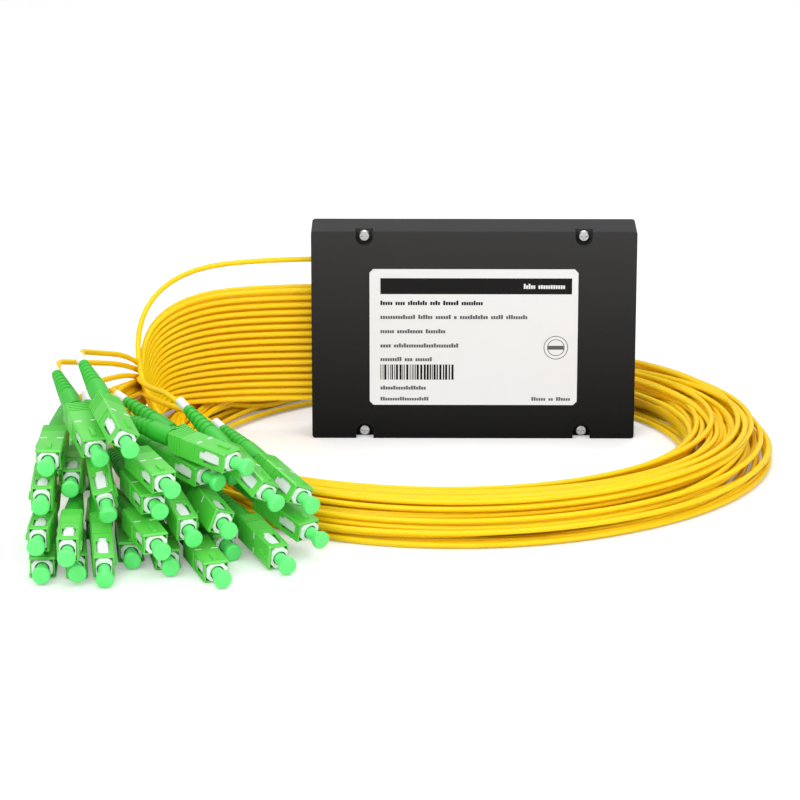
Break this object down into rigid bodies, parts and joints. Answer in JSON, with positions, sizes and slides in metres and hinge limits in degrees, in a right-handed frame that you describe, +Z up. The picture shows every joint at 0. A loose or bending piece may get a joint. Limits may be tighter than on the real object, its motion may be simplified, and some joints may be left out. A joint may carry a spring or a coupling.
{
  "type": "plc fibre splitter",
  "caption": "Flat box fibre splitter with a blank label, a tied ring of thin yellow cables and a heap of green push-pull plugs with dust caps.",
  "frame": {"origin": "middle of the box's underside", "axes": "+Z up, -Y out of the labelled cover, cables leave the box towards -X, +X is right as seen from the front"},
  "size_m": [0.2718, 0.2642, 0.08],
  "materials": {
    "case_plastic": "satin black moulding",
    "screw_steel": "plain",
    "label_film": "semi-gloss film",
    "clamp_plastic": "plain",
    "tube_steel": "drawn",
    "chip_glass": "polished ends",
    "ribbon_coating": "clear coat",
    "buffer_coating": "smooth",
    "cable_jacket": "smooth, slight sheen",
    "strap_weave": "woven",
    "frame_plastic": "plain",
    "ferrule_ceramic": "polished",
    "rear_body_metal": "plated",
    "crimp_metal": "plain",
    "boot_rubber": "smooth",
    "cap_plastic": "fluorescent",
    "sleeve_plastic": "semi-gloss"
  },
  "bodies": {
    "splitter": {"base_tray": "case_plastic", "cover": "case_plastic", "cover_screws": "screw_steel", "rating_label": "label_film", "cable_clamp": "clamp_plastic", "clamp_screws": "screw_steel", "splitter_tube": "tube_steel", "splitter_chip": "chip_glass", "input_fibre_block": "chip_glass", "output_fibre_block": "chip_glass", "ribbon_fibres": "ribbon_coating", "fan_out_block": "clamp_plastic", "inner_fibres": "buffer_coating", "output_cables": "cable_jacket", "input_cable": "cable_jacket", "cable_coil": "cable_jacket", "bundle_strap": "strap_weave", "cable_tails": "cable_jacket", "plug_frames": "frame_plastic", "ferrules": "ferrule_ceramic", "ferrule_springs": "screw_steel", "rear_bodies": "rear_body_metal", "crimp_rings": "crimp_metal", "boots": "boot_rubber", "marker_collars": "frame_plastic", "dust_caps": "cap_plastic"},
    "sleeve_01": {"coupling_sleeve_01": "sleeve_plastic"},
    "sleeve_02": {"coupling_sleeve_02": "sleeve_plastic"},
    "sleeve_03": {"coupling_sleeve_03": "sleeve_plastic"},
    "sleeve_04": {"coupling_sleeve_04": "sleeve_plastic"},
    "sleeve_05": {"coupling_sleeve_05": "sleeve_plastic"},
    "sleeve_06": {"coupling_sleeve_06": "sleeve_plastic"},
    "sleeve_07": {"coupling_sleeve_07": "sleeve_plastic"},
    "sleeve_08": {"coupling_sleeve_08": "sleeve_plastic"},
    "sleeve_09": {"coupling_sleeve_09": "sleeve_plastic"},
    "sleeve_10": {"coupling_sleeve_10": "sleeve_plastic"},
    "sleeve_11": {"coupling_sleeve_11": "sleeve_plastic"},
    "sleeve_12": {"coupling_sleeve_12": "sleeve_plastic"},
    "sleeve_13": {"coupling_sleeve_13": "sleeve_plastic"},
    "sleeve_14": {"coupling_sleeve_14": "sleeve_plastic"},
    "sleeve_15": {"coupling_sleeve_15": "sleeve_plastic"},
    "sleeve_16": {"coupling_sleeve_16": "sleeve_plastic"},
    "sleeve_17": {"coupling_sleeve_17": "sleeve_plastic"},
    "sleeve_18": {"coupling_sleeve_18": "sleeve_plastic"},
    "sleeve_19": {"coupling_sleeve_19": "sleeve_plastic"},
    "sleeve_20": {"coupling_sleeve_20": "sleeve_plastic"},
    "sleeve_21": {"coupling_sleeve_21": "sleeve_plastic"},
    "sleeve_22": {"coupling_sleeve_22": "sleeve_plastic"},
    "sleeve_23": {"coupling_sleeve_23": "sleeve_plastic"},
    "sleeve_24": {"coupling_sleeve_24": "sleeve_plastic"},
    "sleeve_25": {"coupling_sleeve_25": "sleeve_plastic"},
    "sleeve_26": {"coupling_sleeve_26": "sleeve_plastic"},
    "sleeve_27": {"coupling_sleeve_27": "sleeve_plastic"},
    "sleeve_28": {"coupling_sleeve_28": "sleeve_plastic"},
    "sleeve_29": {"coupling_sleeve_29": "sleeve_plastic"},
    "sleeve_30": {"coupling_sleeve_30": "sleeve_plastic"},
    "sleeve_31": {"coupling_sleeve_31": "sleeve_plastic"},
    "sleeve_32": {"coupling_sleeve_32": "sleeve_plastic"},
    "sleeve_33": {"coupling_sleeve_33": "sleeve_plastic"}
  },
  "joints": [
    {"name": "sleeve_slide_01", "type": "slide", "parent": "splitter", "child": "sleeve_01", "axis": [0.0475, -0.9989, 0], "range_m": [-0.0012, 0]},
    {"name": "sleeve_slide_02", "type": "slide", "parent": "splitter", "child": "sleeve_02", "axis": [-0.0443, -0.999, 0], "range_m": [-0.0012, 0]},
    {"name": "sleeve_slide_03", "type": "slide", "parent": "splitter", "child": "sleeve_03", "axis": [-0.0076, -1, 0], "range_m": [-0.0012, 0]},
    {"name": "sleeve_slide_04", "type": "slide", "parent": "splitter", "child": "sleeve_04", "axis": [0.0492, -0.9988, -0.0066], "range_m": [-0.0012, 0]},
    {"name": "sleeve_slide_05", "type": "slide", "parent": "splitter", "child": "sleeve_05", "axis": [0.1091, -0.994, -0.0038], "range_m": [-0.0012, 0]},
    {"name": "sleeve_slide_06", "type": "slide", "parent": "splitter", "child": "sleeve_06", "axis": [0.1222, -0.9446, -0.3047], "range_m": [-0.0012, 0]},
    {"name": "sleeve_slide_07", "type": "slide", "parent": "splitter", "child": "sleeve_07", "axis": [0.1224, -0.9913, -0.0482], "range_m": [-0.0012, 0]},
    {"name": "sleeve_slide_08", "type": "slide", "parent": "splitter", "child": "sleeve_08", "axis": [0.1947, -0.9805, -0.0278], "range_m": [-0.0012, 0]},
    {"name": "sleeve_slide_09", "type": "slide", "parent": "splitter", "child": "sleeve_09", "axis": [0.3405, -0.9396, -0.0359], "range_m": [-0.0012, 0]},
    {"name": "sleeve_slide_10", "type": "slide", "parent": "splitter", "child": "sleeve_10", "axis": [0.4365, -0.8908, -0.126], "range_m": [-0.0012, 0]},
    {"name": "sleeve_slide_11", "type": "slide", "parent": "splitter", "child": "sleeve_11", "axis": [0.4571, -0.8775, -0.1449], "range_m": [-0.0012, 0]},
    {"name": "sleeve_slide_12", "type": "slide", "parent": "splitter", "child": "sleeve_12", "axis": [0.6493, -0.7244, -0.2318], "range_m": [-0.0012, 0]},
    {"name": "sleeve_slide_13", "type": "slide", "parent": "splitter", "child": "sleeve_13", "axis": [-0.0448, -0.999, -0.0009], "range_m": [-0.0012, 0]},
    {"name": "sleeve_slide_14", "type": "slide", "parent": "splitter", "child": "sleeve_14", "axis": [-0.0079, -1, -0.0003], "range_m": [-0.0012, 0]},
    {"name": "sleeve_slide_15", "type": "slide", "parent": "splitter", "child": "sleeve_15", "axis": [-0.0228, -0.9996, -0.0153], "range_m": [-0.0012, 0]},
    {"name": "sleeve_slide_16", "type": "slide", "parent": "splitter", "child": "sleeve_16", "axis": [0.0227, -0.998, -0.0591], "range_m": [-0.0012, 0]},
    {"name": "sleeve_slide_17", "type": "slide", "parent": "splitter", "child": "sleeve_17", "axis": [0.3601, -0.9315, -0.0514], "range_m": [-0.0012, 0]},
    {"name": "sleeve_slide_18", "type": "slide", "parent": "splitter", "child": "sleeve_18", "axis": [0.3412, -0.9211, -0.1874], "range_m": [-0.0012, 0]},
    {"name": "sleeve_slide_19", "type": "slide", "parent": "splitter", "child": "sleeve_19", "axis": [0.3917, -0.9148, -0.0989], "range_m": [-0.0012, 0]},
    {"name": "sleeve_slide_20", "type": "slide", "parent": "splitter", "child": "sleeve_20", "axis": [0.4332, -0.8923, -0.1273], "range_m": [-0.0012, 0]},
    {"name": "sleeve_slide_21", "type": "slide", "parent": "splitter", "child": "sleeve_21", "axis": [0.562, -0.7539, -0.3404], "range_m": [-0.0012, 0]},
    {"name": "sleeve_slide_22", "type": "slide", "parent": "splitter", "child": "sleeve_22", "axis": [0.56, -0.8004, -0.2137], "range_m": [-0.0012, 0]},
    {"name": "sleeve_slide_23", "type": "slide", "parent": "splitter", "child": "sleeve_23", "axis": [0.0376, -0.999, -0.0256], "range_m": [-0.0012, 0]},
    {"name": "sleeve_slide_24", "type": "slide", "parent": "splitter", "child": "sleeve_24", "axis": [0.018, -0.9995, -0.0249], "range_m": [-0.0012, 0]},
    {"name": "sleeve_slide_25", "type": "slide", "parent": "splitter", "child": "sleeve_25", "axis": [0.1877, -0.8966, -0.401], "range_m": [-0.0012, 0]},
    {"name": "sleeve_slide_26", "type": "slide", "parent": "splitter", "child": "sleeve_26", "axis": [0.3602, -0.9314, -0.0531], "range_m": [-0.0012, 0]},
    {"name": "sleeve_slide_27", "type": "slide", "parent": "splitter", "child": "sleeve_27", "axis": [0.6895, -0.6757, -0.2608], "range_m": [-0.0012, 0]},
    {"name": "sleeve_slide_28", "type": "slide", "parent": "splitter", "child": "sleeve_28", "axis": [0.7001, -0.6983, -0.1493], "range_m": [-0.0012, 0]},
    {"name": "sleeve_slide_29", "type": "slide", "parent": "splitter", "child": "sleeve_29", "axis": [-0.0139, -0.9989, -0.045], "range_m": [-0.0012, 0]},
    {"name": "sleeve_slide_30", "type": "slide", "parent": "splitter", "child": "sleeve_30", "axis": [0.4375, -0.8965, -0.0697], "range_m": [-0.0012, 0]},
    {"name": "sleeve_slide_31", "type": "slide", "parent": "splitter", "child": "sleeve_31", "axis": [0.7941, -0.596, -0.1192], "range_m": [-0.0012, 0]},
    {"name": "sleeve_slide_32", "type": "slide", "parent": "splitter", "child": "sleeve_32", "axis": [0.3338, -0.9126, -0.236], "range_m": [-0.0012, 0]},
    {"name": "sleeve_slide_33", "type": "slide", "parent": "splitter", "child": "sleeve_33", "axis": [0.3459, -0.9052, -0.2468], "range_m": [-0.0012, 0]}
  ]
}
